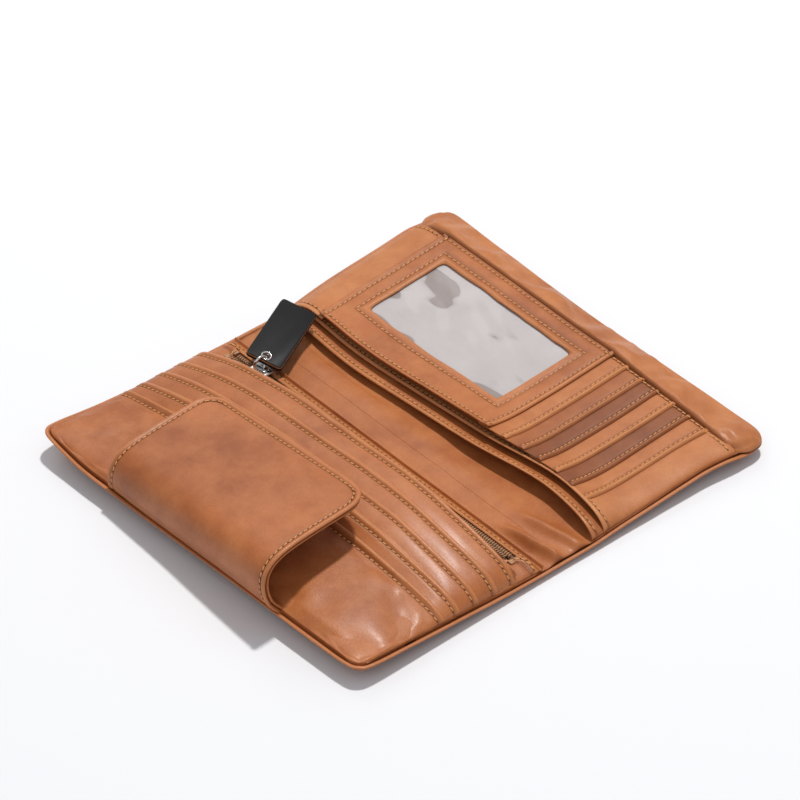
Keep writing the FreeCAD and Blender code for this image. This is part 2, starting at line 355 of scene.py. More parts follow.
def leather(name, tone, cloudScale=26.0, gloss=0.36):
    # waxed full-grain leather: clouded colour, fine pores, soft creases, darker sewn grooves
    f = Finish(name, Coat_Roughness=0.24, Specular_IOR_Level=0.38, Coat_IOR=1.4)
    coords = f.coords()
    clouds = f.noise(coords, cloudScale, 4.0, 0.62)
    streaks = f.noise(coords, cloudScale * 3.4, 4.0, 0.66)
    fine = f.noise(coords, 1500.0, 3.0, 0.7)
    seam = f.attribute("seam")
    wear = f.attribute("wear")
    deep = f.node("ShaderNodeMapRange", Value=clouds, i1=0.36, i2=0.64, i3=0.0, i4=1.0)
    colour = f.mix((deep * 0.66 + streaks * 0.34).clamp(), (*tone["deep"], 1), (*tone["base"], 1))
    colour = f.mix((streaks * 1.5 - 0.55).clamp() * 0.6, colour, (*tone["pale"], 1))
    colour = f.mix(wear * 0.55, colour, (*tone["pale"], 1))
    colour = f.mix(seam * 0.7, colour, shade(tone["deep"], 0.38))
    colour = f.mix((fine * 2.2 - 0.85).clamp() * 0.42, colour, shade(tone["deep"], 0.9))
    pores = f.node("ShaderNodeTexVoronoi", {"feature": "DISTANCE_TO_EDGE"}, Vector=coords, Scale=900.0)
    grain = f.node("ShaderNodeMapRange", Value=pores, i1=0.0, i2=0.16, i3=0.0, i4=1.0)
    creases = f.noise(coords, 150.0, 6.0, 0.7)
    f.feed(Base_Color=colour, Roughness=(gloss + clouds * 0.12 + fine * 0.22 - wear * 0.05).clamp(),
           Coat_Weight=(0.30 - seam * 0.3 - fine * 0.28).clamp())
    f.bumped(grain * 0.22 + creases * 1.0 + fine * 0.30, 0.42, 0.00042)
    return f.material


def edgeDye(name, tone):
    # turned and burnished leather edge
    f = Finish(name, Roughness=0.5, Coat_Weight=0.1)
    coords = f.coords()
    grain = f.noise(coords, 420.0, 3.0)
    colour = f.mix(grain, (*tone["deep"], 1), (*tone["pale"], 1))
    f.feed(Base_Color=colour)
    f.bumped(grain, 0.3, 0.0003)
    return f.material


def blackLeather():
    f = Finish("blackLeather", Coat_Weight=0.06, Coat_Roughness=0.3, Specular_IOR_Level=0.16)
    coords = f.coords()
    pores = f.node("ShaderNodeTexVoronoi", {"feature": "DISTANCE_TO_EDGE"}, Vector=coords, Scale=1100.0)
    scuffs = f.noise(coords, 220.0, 4.0)
    colour = f.mix(scuffs, (0.005, 0.005, 0.006, 1), (0.014, 0.013, 0.013, 1))
    f.feed(Base_Color=colour, Roughness=0.46 + scuffs * 0.22)
    f.bumped(pores + scuffs, 0.25, 0.0003)
    return f.material


def threadFinish(name, light, dark):
    # twisted thread: slanting strands across each stitch
    f = Finish(name, Roughness=0.62)
    coords = f.coords()
    tone = f.noise(coords, 380.0, 2.0)
    strand = f.noise(coords, 3200.0, 1.0)
    f.feed(Base_Color=f.mix((tone * 0.8 + strand * 0.4).clamp(), (*dark, 1), (*light, 1)))
    f.bumped(strand, 0.4, 0.0002)
    return f.material


# colour of the dark disc at each needle hole: painted shade inside the hole
def holeShadeFinish():
    f = Finish("needleHoleShade", Roughness=0.9)
    coords = f.coords()
    f.feed(Base_Color=f.mix(f.noise(coords, 700.0), (0.030, 0.012, 0.006, 1), (0.085, 0.034, 0.014, 1)))
    return f.material


def metalFinish(name, colour, rough):
    f = Finish(name, Metallic=1.0)
    coords = f.coords()
    smudge = f.noise(coords, 320.0, 3.0)
    scratch = f.noise(coords, 2400.0, 2.0)
    f.feed(Base_Color=f.mix(smudge, shade(colour, 0.82), (*colour, 1)),
           Roughness=rough + smudge * 0.14)
    f.bumped(scratch, 0.12, 0.0001)
    return f.material


def wovenTape():
    f = Finish("wovenTape", Roughness=0.85)
    coords = f.coords()
    weft = f.node("ShaderNodeTexWave", {"bands_direction": "X"}, Vector=coords, Scale=420.0, Distortion=0.6)
    warp = f.node("ShaderNodeTexWave", {"bands_direction": "Y"}, Vector=coords, Scale=420.0, Distortion=0.6)
    f.feed(Base_Color=f.mix(weft * warp, (0.17, 0.075, 0.032, 1), (0.36, 0.175, 0.08, 1)))
    f.bumped(weft * warp, 0.6, 0.0003)
    return f.material


def coilFinish():
    f = Finish("coilNylon", Roughness=0.42)
    coords = f.coords()
    tone = f.noise(coords, 260.0, 2.0)
    f.feed(Base_Color=f.mix(tone, (0.30, 0.135, 0.060, 1), (0.50, 0.26, 0.13, 1)))
    f.bumped(f.noise(coords, 1800.0), 0.2, 0.0002)
    return f.material


def vinylFilm():
    # soft clear vinyl over pale backing: milky, with darker wet patches where it clings
    f = Finish("vinylFilm", Coat_Weight=0.5, Coat_Roughness=0.08, Specular_IOR_Level=0.6)
    coords = f.coords()
    stretch = f.node("ShaderNodeMapping", Vector=coords, Scale=(1.0, 2.1, 1.0), Rotation=(0, 0, 0.5))
    patches = f.noise(stretch, 34.0, 1.2, 0.4)
    cling = f.node("ShaderNodeMapRange", Value=patches, i1=0.638, i2=0.650, i3=0.0, i4=1.0)
    ring = f.node("ShaderNodeMapRange", Value=patches, i1=0.615, i2=0.640, i3=0.0, i4=1.0)
    cloud = f.noise(coords, 60.0, 3.0)
    base = f.mix(cloud, (0.42, 0.375, 0.362, 1), (0.52, 0.48, 0.470, 1))
    base = f.mix(ring * 0.25, base, (0.25, 0.20, 0.185, 1))
    base = f.mix(cling * 0.65, base, (0.235, 0.185, 0.165, 1))
    wrinkle = f.noise(stretch, 90.0, 2.5)
    f.feed(Base_Color=base, Roughness=(0.30 - cling * 0.14 + cloud * 0.1).clamp())
    f.bumped(wrinkle + cling * 0.25, 0.22, 0.0012)
    return f.material


def boardFinish():
    f = Finish("greyBoard", Roughness=0.9)
    coords = f.coords()
    fibre = f.noise(coords, 500.0, 4.0)
    f.feed(Base_Color=f.mix(fibre, (0.30, 0.24, 0.18, 1), (0.46, 0.39, 0.30, 1)))
    f.bumped(fibre, 0.3, 0.0002)
    return f.material


def magnetFinish():
    f = Finish("magnetSheet", Roughness=0.7)
    coords = f.coords()
    f.feed(Base_Color=f.mix(f.noise(coords, 300.0), (0.03, 0.03, 0.032, 1), (0.07, 0.07, 0.072, 1)))
    return f.material


finishes = {
    "cover": leather("coverLeather", leatherTone["cover"], 22.0, 0.34),
    "panel": leather("panelLeather", leatherTone["panel"], 24.0, 0.30),
    # the panel leather painted lighter for the far half: painted light
    "farPanelLit": leather("farLeatherLit", leatherTone["farPanelLit"], 20.0, 0.36),
    "lining": leather("liningLeather", leatherTone["lining"], 28.0, 0.36),
    "light": leather("lightLeather", leatherTone["light"], 30.0, 0.36),
    "red": leather("redLeather", leatherTone["red"], 30.0, 0.34),
    "mid": leather("midLeather", leatherTone["mid"], 30.0, 0.34),
    "edge": edgeDye("turnedEdge", leatherTone["light"]),
    "tag": blackLeather(),
    "thread": threadFinish("tanThread", (0.78, 0.385, 0.135), (0.45, 0.185, 0.058)),
    # hole: dark disc of painted shade in each needle hole
    "hole": holeShadeFinish(),
    "slider": metalFinish("polishedNickel", (0.80, 0.79, 0.77), 0.14),
    "tape": wovenTape(),
    "coil": coilFinish(),
    "film": vinylFilm(),
    "board": boardFinish(),
    "magnet": magnetFinish(),
}
print("materials made")


def only(piece):
    bpy.ops.object.select_all(action="DESELECT")
    bpy.context.view_layer.objects.active = piece
    piece.select_set(True)


def modify(piece, kind, **settings):
    only(piece)
    modifier = piece.modifiers.new(kind.lower(), kind)
    for key, value in settings.items():
        setattr(modifier, key, value)
    bpy.ops.object.modifier_apply(modifier=modifier.name)


def smooth(piece, angle=None):
    only(piece)
    if angle is None:
        bpy.ops.object.shade_smooth()
    else:
        bpy.ops.object.shade_smooth_by_angle(angle=math.radians(angle))


def subdivide(piece, levels=1):
    modify(piece, "SUBSURF", levels=levels, render_levels=levels)


# axis, anchor and keep for each half's soft leathers flattening towards its lining as the holder folds
# shut; the script reads only the halves' names, to give their soft pieces meshes of their own
closing = {"near_half": {"axis": (0, 0.053, 1), "anchor": (0, -hingeY * mm, liningTop * mm), "keep": 0.55},
           "far_half": {"axis": (0, -0.058, 1), "anchor": (0, hingeY * mm, liningTop * mm), "keep": 0.5}}
stiff = ["stiffener_board", "closing_magnet"]
hardware = ["tag_leather", "slider_metal"]


def dress(piece, body, finish, slot, *nodes):
    # drawn outline, material, body and stood-for CAD nodes of a finished piece; the slot only decides
    # whether the outline is drawn and whether the mesh is made its own
    if slot not in hardware:
        for v in piece.data.vertices:
            x, y, z = v.co / mm
            v.co = Vector((*drawn(x, y), z)) * mm
    if finish:
        piece.data.materials.clear()
        piece.data.materials.append(finishes[finish])
    if body:
        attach(piece, body)
    if nodes:
        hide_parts(*nodes)
    if body in closing and slot not in stiff:
        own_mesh(piece)
    return piece


def mark(piece, name, values):
    layer = piece.data.attributes.new(name, "FLOAT", "POINT")
    layer.data.foreach_set("value", values)


def layGrid(name, xs, ys, place, marks=None, held=None):
    # a grid with a line at each of xs and ys, every point set by place, in millimetres
    bpy.ops.mesh.primitive_grid_add(x_subdivisions=len(xs) - 1, y_subdivisions=len(ys) - 1, size=2)
    piece = bpy.context.object
    piece.name = piece.data.name = name
    seams, wears, kept = [], [], []
    for v in piece.data.vertices:
        x = xs[round((v.co.x + 1) / 2 * (len(xs) - 1))]
        y = ys[round((v.co.y + 1) / 2 * (len(ys) - 1))]
        v.co = Vector(place(x, y)) * mm
        seam, wear = marks(x, y) if marks else (0.0, 0.0)
        seams.append(seam)
        wears.append(wear)
        if held and held(x, y):
            kept.append(v.index)
    mark(piece, "seam", seams)
    mark(piece, "wear", wears)
    if held:
        piece.vertex_groups.new(name="held").add(kept, 1.0, "REPLACE")
    return piece


clothWeave = {"quality": 6, "mass": 0.35, "tension_stiffness": 25, "compression_stiffness": 25,
              "shear_stiffness": 12, "bending_stiffness": 0.9, "use_pressure": True}
clothSteps = 20


def puffed(piece, pressure, slack, most):
    # sewn leather blown out and crumpled between its held edges, no point moving more than most
    before = [v.co.copy() for v in piece.data.vertices]
    only(piece)
    cloth = piece.modifiers.new("cloth", "CLOTH")
    for key, value in clothWeave.items():
        setattr(cloth.settings, key, value)
    cloth.settings.uniform_pressure_force = pressure
    cloth.settings.shrink_min = -slack
    cloth.settings.vertex_group_mass = "held"
    cloth.settings.effector_weights.gravity = 0
    cloth.collision_settings.use_collision = False
    cloth.point_cache.frame_start = 1
    cloth.point_cache.frame_end = clothSteps
    for step in range(1, clothSteps + 1):
        bpy.context.scene.frame_set(step)
    bpy.ops.object.modifier_apply(modifier=cloth.name)
    bpy.context.scene.frame_set(1)
    for v, old in zip(piece.data.vertices, before):
        moved = v.co - old
        if moved.length > most * mm:
            v.co = old + moved.normalized() * most * mm
    piece.vertex_groups.clear()


def thicken(piece, thickness, levels=1):
    modify(piece, "SOLIDIFY", thickness=thickness * mm, offset=-1, use_even_offset=False)
    subdivide(piece, levels)
    smooth(piece)
    return piece


stitchRuns = {}
stitchPitch = 2.7


def stitchRun(group, path, place):
    # places for stitches at an even pitch along a path laid over a surface
    points = [Vector(place(*p)) for p in path]
    lengths = [0.0]
    for a, b in zip(points, points[1:]):
        lengths.append(lengths[-1] + (b - a).length)
    count = max(2, round(lengths[-1] / stitchPitch))
    step = lengths[-1] / count
    at = 0
    for n in range(count):
        want = (n + 0.5) * step
        while at < len(points) - 2 and lengths[at + 1] < want:
            at += 1
        t = (want - lengths[at]) / max(lengths[at + 1] - lengths[at], 1e-6)
        here = points[at].lerp(points[at + 1], t)
        u = path[at][0] + (path[at + 1][0] - path[at][0]) * t
        v = path[at][1] + (path[at + 1][1] - path[at][1]) * t
        along = (points[at + 1] - points[at]).normalized()
        across = (Vector(place(u + 0.4, v)) - Vector(place(u - 0.4, v))).cross(
            Vector(place(u, v + 0.4)) - Vector(place(u, v - 0.4)))
        if across.length < 1e-9:
            continue
        stitchRuns.setdefault(group, []).append((here, along, across.normalized(), step))


# hole: size of the dark disc of painted shade at each needle hole; holeLift: its rise above the leather
stitch = {"length": 2.15, "wide": 0.675, "high": 0.54, "lift": 0.16, "slant": math.radians(9),
          "hole": (0.57, 0.765, 0.225), "holeLift": 0.02}


def ball(segments, rings, size, turn=None):
    # a ball of one unit, turned so that its poles lie along its length, then scaled
    bpy.ops.mesh.primitive_uv_sphere_add(segments=segments, ring_count=rings, radius=0.5)
    bpy.ops.object.mode_set(mode="EDIT")
    bpy.ops.mesh.select_all(action="SELECT")
    if turn:
        bpy.ops.transform.rotate(value=math.pi / 2, orient_axis=turn, center_override=(0, 0, 0))
    bpy.ops.transform.resize(value=size)
    bpy.ops.object.mode_set(mode="OBJECT")
    return bpy.context.object


def joined(name, *pieces):
    bpy.ops.object.select_all(action="DESELECT")
    for piece in pieces:
        piece.select_set(True)
    bpy.context.view_layer.objects.active = pieces[0]
    bpy.ops.object.join()
    piece = bpy.context.object
    piece.name = piece.data.name = name
    return piece


def copies(model, name, places):
    # copies of a small model, each with its own mesh, joined into one piece
    made = []
    for matrix in places:
        one = model.copy()
        one.data = model.data.copy()
        one.data.transform(matrix)
        bpy.context.collection.objects.link(one)
        made.append(one)
    bpy.data.objects.remove(model)
    return joined(name, *made)


def sewStitches(name, group):
    # slim slanting threads, with a dark disc of painted shade for the needle hole half a step beyond each
    threads, holeShades = [], []
    for here, along, up, step in stitchRuns.pop(group):
        turn = Matrix((along, up.cross(along).normalized(), up)).transposed().to_4x4()
        sewn = here + up * stitch["lift"]
        pierced = here + along * (step / 2) + up * stitch["holeLift"]
        threads.append(Matrix.Translation(sewn * mm) @ turn
                       @ Matrix.Rotation(stitch["slant"], 4, "Z") @ Matrix.Scale(mm, 4))
        holeShades.append(Matrix.Translation(pierced * mm) @ turn @ Matrix.Scale(mm, 4))
    thread = ball(6, 5, (stitch["length"], stitch["wide"], stitch["high"]), "Y")
    thread.data.materials.append(finishes["thread"])
    hole = ball(6, 4, stitch["hole"])
    hole.data.materials.append(finishes["hole"])
    piece = joined(name, copies(thread, name, threads), copies(hole, "holeShades", holeShades))
    smooth(piece)
    return piece


def nodeCopy(node, name):
    # a CAD node's own shape as a new piece, its loose triangles merged
    piece = bpy.data.objects.new(name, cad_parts[node].data.copy())
    bpy.context.collection.objects.link(piece)
    only(piece)
    bpy.ops.object.mode_set(mode="EDIT")
    bpy.ops.mesh.select_all(action="SELECT")
    bpy.ops.mesh.remove_doubles(threshold=1e-6)
    bpy.ops.object.mode_set(mode="OBJECT")
    return piece


def softCopy(node, body, finish, slot, step=9.0):
    # a sealed layer: the node's own outline, cut into strips and bent with its neighbours
    low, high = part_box(node)
    piece = nodeCopy(node, node + "_soft")
    bpy.ops.object.mode_set(mode="EDIT")
    for axis, normal in ((0, (1, 0, 0)), (1, (0, 1, 0))):
        count = int((high[axis] - low[axis]) / mm / step)
        for n in range(1, count + 1):
            place = [0, 0, 0]
            place[axis] = low[axis] + (high[axis] - low[axis]) * n / (count + 1)
            bpy.ops.mesh.select_all(action="SELECT")
            bpy.ops.mesh.bisect(plane_co=place, plane_no=normal)
    bpy.ops.object.mode_set(mode="OBJECT")
    for v in piece.data.vertices:
        x, y, z = v.co / mm
        v.co = Vector((x, skewed(x, y) if y < -hingeY else y, settle(x, y, z))) * mm
    smooth(piece, 30)
    return dress(piece, body, finish, slot, node)


cover = {"thickness": 1.3, "rimWidth": 2.6, "rimHeight": 2.0, "bend": 5.0}


def coverTop(x, y):
    edge = min(halfLength - abs(x), outerY - abs(y))
    rim = cover["rimHeight"] * ease((cover["rimWidth"] - edge) / 0.7) * (1 - ease((y - seamY) / 3))
    fall = 0.5 * bump(edge, 0.0, 0.35)
    return cover["thickness"] + rim - fall


def coverPlace(sign):
    def place(x, y):
        rx, ry = roundCorner(x, y, halfLength, sign * outerY, coverRadius)
        slack = 0.5 * wave(x, y, 60.0, 2.0) * ease((abs(y) - hingeY) / 20)
        return rx, skewed(rx, ry) if sign < 0 else ry, coverTop(x, y) + rise(x, y) + slack
    return place


def coverMarks(x, y):
    edge = min(halfLength - abs(x), outerY - abs(y))
    return bump(edge, cover["rimWidth"] + 0.4, 0.5), 0.8 * bump(edge, 0.9, 1.1)


def makeCover(name, sign, bodies, *nodes):
    rimRows = (0.4, 1.0, 1.6, 2.2, 2.7, 3.2, 4.0, 6.0)
    xs = spread(-halfLength, halfLength, 6.0, rimRows, rimRows)
    inner = spread(0, hingeY + 8, 1.6, (0.08, 0.3))
    outer = spread(hingeY + 8, outerY, 6.0, (), rimRows)
    ys = inner + outer[1:]
    if sign < 0:
        ys = [-y for y in reversed(ys)]
    piece = layGrid(name, xs, ys, coverPlace(sign), coverMarks)
    thicken(piece, cover["thickness"])
    dress(piece, None, "cover", "cover_leather", *nodes)
    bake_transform(piece)
    return piece


def liningPlace(sign):
    def place(x, y):
        rx, ry = roundCorner(x, y, innerX, sign * innerY, innerRadius)
        flat = 1 - ease((abs(y) - hingeY) / 9)
        swell = 1.3 * bump(y, 5.0, 7.0) * pillow(innerX - abs(x), 16) * flat
        crease = -0.5 * bump(y, -7.5 + 1.2 * wave(x, 0, 40.0), 1.4) * flat
        pucker = 0.7 * wave(x, y, 15.0, 4.0) * flat * pillow(innerX - abs(x), 6)
        ends = (ease((x - 64) / 14) + 0.5 * ease((-x - 74) / 12)) * pillow(innerX - abs(x), 5)
        ridge = 4.4 * bump(y + 3.5 - 0.12 * (x - 80), 0.0, 1.9)
        ridge += 3.2 * bump(y - 7 - 0.2 * (x - 80), 0.0, 2.4)
        lift = max(swell + crease + pucker + ridge * ends, -0.55)
        return rx, skewed(rx, ry) if sign < 0 else ry, liningTop + rise(x, y) + lift
    return place


def makeLining(name, sign, bodies, *nodes):
    endFine = (0.4, 1.0, 2.0, 4.0, 7.0, 10.0, 14.0)
    xs = spread(-innerX, innerX, 5.0, endFine, endFine)
    ys = spread(0, 26, 1.3, (0.08, 0.3)) + spread(26, innerY, 8.0)[1:]
    if sign < 0:
        ys = [-y for y in reversed(ys)]
    piece = layGrid(name, xs, ys, liningPlace(sign),
                    lambda x, y: (0.5 * bump(innerX - abs(x), 0.0, 1.0), 0.0))
    thicken(piece, 0.75)
    dress(piece, None, "lining", "lining_leather", *nodes)
    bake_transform(piece)
    return piece


makeCover("cover_near", -1, ("near_half", "spine"), "near_cover")
makeCover("cover_far", 1, ("far_half", "spine"), "far_cover", "spine_cover")
makeLining("lining_near", -1, ("near_half", "spine"), "near_lining")
makeLining("lining_far", 1, ("far_half", "spine"), "far_lining", "spine_lining")
for node, body in (("near_board", "near_half"), ("far_board", "far_half")):
    softCopy(node, body, "board", "stiffener_board")
softCopy("cover_magnet", "far_half", "magnet", "closing_magnet")
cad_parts["spine_board"].data.materials.clear()
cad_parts["spine_board"].data.materials.append(finishes["board"])
print("cover and lining laid")


tier = {"lip": 0.55, "lipAt": 1.25, "lipWidth": 1.0, "groove": 0.38, "stitchAt": 3.0,
        "thickness": 0.8, "mouthWander": 0.6, "pouchStitch": 1.5, "zipEnd": 86.5}


def lipShape(d):
    # folded mouth edge: a bead, then the sewn groove
    bead = tier["lip"] * bump(d, tier["lipAt"], tier["lipWidth"])
    groove = tier["groove"] * bump(d, tier["stitchAt"], 0.55)
    roll = 0.5 * bump(d, 0.0, 0.4)
    return bead - groove - roll


def lipMarks(d):
    return bump(d, tier["stitchAt"], 0.5), 0.9 * bump(d, 0.9, 0.9)


def still(x):
    return 0.0


def frontShift(x):
    return 2.0


def pouchShift(x):
    # the pouch leather closes round the ends of the zip
    return 0.8 + 8.6 * ease((abs(x) - tier["zipEnd"]) / 3.0)


def tierPlace(node, seed, shift=still):
    high = cad(node)[1]

    def place(x, y):
        d = high.y - y
        wander = tier["mouthWander"] * wave(x, 0, 45.0, seed) * (1 - ease(d / 18))
        wander += shift(x) * (1 - ease(d / 18))
        rx, ry = roundCorner(x, y + wander, innerX, -innerY, innerRadius)
        z = settle(x, min(y + wander, high.y + wander), high.z) + lipShape(d) * pillow(innerX - abs(x), 5)
        return rx, skewed(rx, ry), z
    return place


def makeTier(node, seed, finish, shift=still, stitchAt=tier["stitchAt"]):
    low, high = cad(node)
    ys = spread(low.y, high.y, 4.5, endRows, lipRows)
    xs = spread(-innerX, innerX, 4.0, endRows, endRows)
    place = tierPlace(node, seed, shift)
    piece = layGrid(node + "_leather", xs, ys, place, lambda x, y: lipMarks(high.y - y),
                    lambda x, y: min(high.y - y - 5, y - low.y - 1, innerX - abs(x) - 1) < 0)
    if node == cardNodes[-1]:
        puffed(piece, 1.2, 0.02, 1.4)
    thicken(piece, tier["thickness"])
    dress(piece, "near_half", finish, "panel_leather", node)
    line = high.y - stitchAt
    stitchRun("near_half", [(x, line) for x in spread(-innerX + 1.0, innerX - 1.0, 1.2)], place)
    return piece


for i, node in enumerate(cardNodes):
    makeTier(node, 10.0 + i * 3.1, "panel", frontShift if node == cardNodes[-1] else still)
dividerPlace = tierPlace(cardNodes[2], 10.0 + 2 * 3.1)
dividerTop = cad(cardNodes[2])[1].y - tier["stitchAt"] - 1.0
stitchRun("near_half", [(0.0, dividerTop - i) for i in range(8)], dividerPlace)
makeTier("pouch_front", 31.0, "panel", pouchShift, tier["pouchStitch"])
for node in ("pouch_welts", "passport_pocket_welts"):
    softCopy(node, "near_half", "lining", "lining_leather", 6.0)
print("near half sewn")


def gape(x, y, edge, height, run):
    # an empty pocket's mouth stands open in the middle
    wide = pillow(innerX - abs(x), 17) * (0.42 + 0.58 * ease((x + 20) / 70))
    return height * wide * math.exp(-max(y - edge, 0.0) / run)


def farSurface(level, mouth, height, run, seed):
    def place(x, y):
        wander = 0.7 * wave(x, 0, 50.0, seed) * (1 - ease((y - mouth) / 20))
        z = settle(x, y, level) + gape(x, y, mouth, height, run) + lipShape(y - mouth)
        return x, y + wander, z
    return place


def makeFarPanel(node, height, run, seed, yHigh, finish="panel"):
    low, high = cad(node)
    place = farSurface(high.z, low.y, height, run, seed)
    xs = spread(-innerX, innerX, 4.5, endRows, endRows)
    ys = spread(low.y, yHigh, 5.0, lipRows)
    piece = layGrid(node + "_leather", xs, ys, place, lambda x, y: lipMarks(y - low.y))
    thicken(piece, 0.8)
    dress(piece, "far_half", finish, "panel_leather", node)
    line = low.y + tier["stitchAt"]
    stitchRun("far_half", [(x, line) for x in spread(-innerX + 2, innerX - 2, 2.0)], place)


makeFarPanel("slip_pocket_panel", farBody["slipGape"], 9.0, 41.0, seamY)
# the far card panel takes the lighter far tone: painted light
makeFarPanel("card_panel", farBody["mouthGape"], 11.0, 47.0, seamY + 1.0, "farPanelLit")
slotEdges = [cad("window_frame")[1].x] + [cad(n)[1].x for n in reversed(slotNodes)]


def strippedLevel(x, y, level):
    return settle(x, y, level) + gape(x, y, panelEdge, farBody["mouthGape"], 11.0)


def slotPlace(edge, level, seed):
    def place(x, y):
        d = edge - x
        ends = ease((y - panelEdge) / 5) * ease((seamY - y) / 4)
        z = strippedLevel(x, y, level) + lipShape(d) * (0.5 + 1.1 * ends) - 0.5 * (1 - ends)
        wander = 0.45 * wave(0, y, 40.0, seed) * (1 - ease(d / 12))
        return x + wander, y, z
    return place


def makeSlot(node, nextEdge, finish, seed):
    high = cad(node)[1]
    place = slotPlace(high.x, high.z, seed)
    xs = spread(nextEdge - 7.0, high.x, 3.0, (), lipRows)
    ys = spread(panelEdge + 1.2, seamY - 0.4, 3.6, (0.4, 1.0, 2.0, 3.4), (0.4, 1.0, 2.0, 3.4))
    piece = layGrid(node + "_strip", xs, ys, place, lambda x, y: lipMarks(high.x - x))
    thicken(piece, 0.62)
    dress(piece, "far_half", finish, "slot_leather_light" if finish == "light" else "slot_leather_red",
          node)
    line = high.x - tier["stitchAt"]
    stitchRun("far_half", [(line, y) for y in spread(panelEdge + 2.5, seamY - 1.5, 2.0)], place)


slotFinish = ["light", "red", "light", "red", "mid", "light"]
for i, node in enumerate(slotNodes):
    makeSlot(node, slotEdges[-(i + 2)], slotFinish[i], 51.0 + 2.7 * i)

windowBox = cad("window_film")
windowLap = 4.0
clear = {"x": (windowBox[0].x + windowLap, windowBox[1].x - windowLap),
         "y": (windowBox[0].y + windowLap, windowBox[1].y - windowLap)}


def frameTop(x, y):
    # window frame leather, sunk along its double seams and rolled at the opening
    z = strippedLevel(x, y, farTop)
    dx = max(clear["x"][0] - x, x - clear["x"][1])
    dy = max(clear["y"][0] - y, y - clear["y"][1])
    gap = max(dx, dy)
    z += 0.35 * bump(gap, 1.6, 1.2) - 0.3 * bump(gap, 4.0, 0.6) - 0.5 * bump(gap, 0.0, 0.4)
    edge = slotEdges[0] - x
    z += lipShape(edge) if edge < 9 else 0.0
    z += 0.6 * lipShape(y - panelEdge) if y - panelEdge < 9 else 0.0
    z -= 0.4 * bump(x - bandX, 3.0, 0.6)
    z -= 0.4 * bump(seamY - y, 2.0, 0.6)
    return z


def onFrame(x, y):
    gap = max(clear["x"][0] - x, x - clear["x"][1], clear["y"][0] - y, y - clear["y"][1])
    loose = ease((3.6 - gap) / 2.5)
    return (x + 0.9 * wave(y, 0, 14.0, 21.0) * loose, y + 0.9 * wave(x, 0, 17.0, 23.0) * loose,
            frameTop(x, y))


def frameMarks(x, y):
    gap = max(clear["x"][0] - x, x - clear["x"][1], clear["y"][0] - y, y - clear["y"][1])
    edge = slotEdges[0] - x
    seam = max(bump(gap, 4.0, 0.5), bump(edge, tier["stitchAt"], 0.5),
               bump(y - panelEdge, tier["stitchAt"], 0.5), bump(x - bandX, 3.0, 0.5),
               bump(seamY - y, 2.0, 0.5))
    return seam, 0.8 * max(bump(gap, 0.8, 0.9), bump(edge, 0.9, 0.9))


def makeWindowFrame():
    x0, x1 = clear["x"]
    y0, y1 = clear["y"]
    rim = (0.3, 0.7, 1.3, 2.2, 3.2, 3.7, 4.3, 5.0, 7.0)
    left = spread(bandX, x0, 3.0, (0.6, 1.6, 2.5, 3.0, 3.5, 4.5), rim)
    right = spread(x1, slotEdges[0], 3.0, rim[:6], lipRows[:9])
    low = spread(panelEdge + 0.6, y0, 3.0, lipRows[:10], rim)
    high = spread(y1, seamY, 3.0, rim[:7], (0.6, 1.4, 2.0, 2.6, 3.4))
    xs = left + spread(x0, x1, 4.0)[1:-1] + right
    ys = low + spread(y0, y1, 4.0)[1:-1] + high
    piece = layGrid("window_frame_leather", xs, ys, onFrame, frameMarks)
    only(piece)
    bpy.ops.object.mode_set(mode="EDIT")
    bpy.ops.mesh.select_all(action="DESELECT")
    bpy.ops.mesh.select_mode(type="FACE")
    bpy.ops.object.mode_set(mode="OBJECT")
    for face in piece.data.polygons:
        centre = face.center / mm
        face.select = x0 < centre.x < x1 and y0 < centre.y < y1
    bpy.ops.object.mode_set(mode="EDIT")
    bpy.ops.mesh.delete(type="FACE")
    bpy.ops.mesh.select_mode(type="VERT")
    bpy.ops.object.mode_set(mode="OBJECT")
    thicken(piece, 1.0)
    dress(piece, "far_half", "panel", "panel_leather", "window_frame")


makeWindowFrame()


def ringPath(x0, x1, y0, y1, step=2.0):
    path = [(x, y0) for x in spread(x0, x1, step)]
    path += [(x1, y) for y in spread(y0, y1, step)[1:]]
    path += [(x, y1) for x in reversed(spread(x0, x1, step)[:-1])]
    path += [(x0, y) for y in reversed(spread(y0, y1, step)[:-1])]
    return path


windowSeam = 4.0
stitchRun("far_half", ringPath(clear["x"][0] - windowSeam, clear["x"][1] + windowSeam,
                               clear["y"][0] - windowSeam, clear["y"][1] + windowSeam), onFrame)
stitchRun("far_half", [(bandX + 3.0, y) for y in spread(panelEdge + 4, seamY - 1, 2.0)], onFrame)
stitchRun("far_half", [(slotEdges[0] - 3.0, y) for y in spread(panelEdge + 4, seamY - 3, 2.0)], onFrame)
stitchRun("far_half", [(x, panelEdge + 3.0) for x in spread(bandX + 1, slotEdges[0] - 1, 2.0)], onFrame)


def filmPlace(x, y):
    sag = 0.9 * pillow(min(x - windowBox[0].x, windowBox[1].x - x,
                           y - windowBox[0].y, windowBox[1].y - y), 14)
    ripple = 0.35 * wave(x, y * 0.6, 16.0, 71.0) + 0.25 * wave(x + y, y, 9.0, 73.0)
    return x, y, strippedLevel(x, y, farTop) - 0.95 - sag * 0.45 + ripple * 0.5


film = layGrid("window_film_sheet", spread(windowBox[0].x, windowBox[1].x, 1.8),
               spread(windowBox[0].y, windowBox[1].y, 1.8), filmPlace)
thicken(film, 0.35)
dress(film, "far_half", "film", "clear_film", "window_film")


# bands round the card panel
def bandTop(x, y):
    z = strippedLevel(x, y, cad("end_band")[1].z) + 2.6 * ease((x + innerX) / 14)
    return z - 0.4 * bump(seamY - y, 2.0, 0.6)


def bandPlace(x, y):
    return x, y, bandTop(x, y) + 0.5 * lipShape(y - panelEdge)


